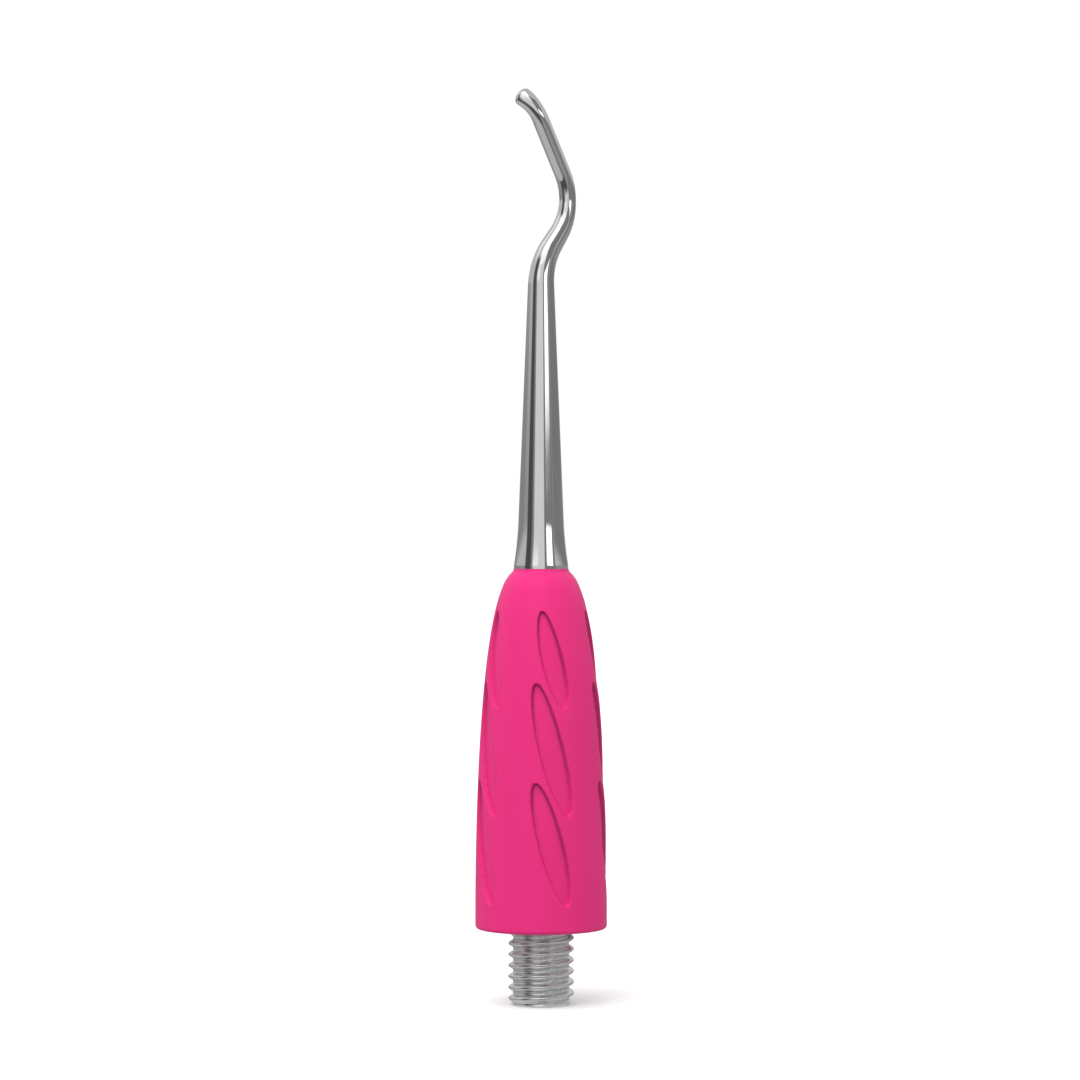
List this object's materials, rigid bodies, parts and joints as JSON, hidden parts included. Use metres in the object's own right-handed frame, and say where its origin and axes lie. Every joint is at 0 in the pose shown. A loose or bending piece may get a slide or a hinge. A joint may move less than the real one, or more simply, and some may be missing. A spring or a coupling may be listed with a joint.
{
  "type": "dental elevator working end",
  "caption": "Screw-in working end of a dental elevator: steel tip with three bends and a flattened blade, tapered silicone grip with slanted oval recesses, and a short threaded stud.",
  "frame": {"origin": "centre of the stud's free end face, on the axis of the grip", "axes": "+Z along the axis of the grip from the stud towards the tip; the tip first bends towards +X and +Y, then back over the axis, and its toe ends towards -X"},
  "size_m": [0.012, 0.012, 0.0834],
  "materials": {
    "polished_steel": "mirror polished stainless steel",
    "grip_silicone": "satin moulded silicone, bright pink",
    "core_steel": "turned steel",
    "satin_steel": "satin rolled thread"
  },
  "bodies": {
    "root": {"working_tip": "polished_steel", "grip_sleeve": "grip_silicone", "inner_core": "core_steel", "threaded_stud": "satin_steel"}
  },
  "joints": []
}
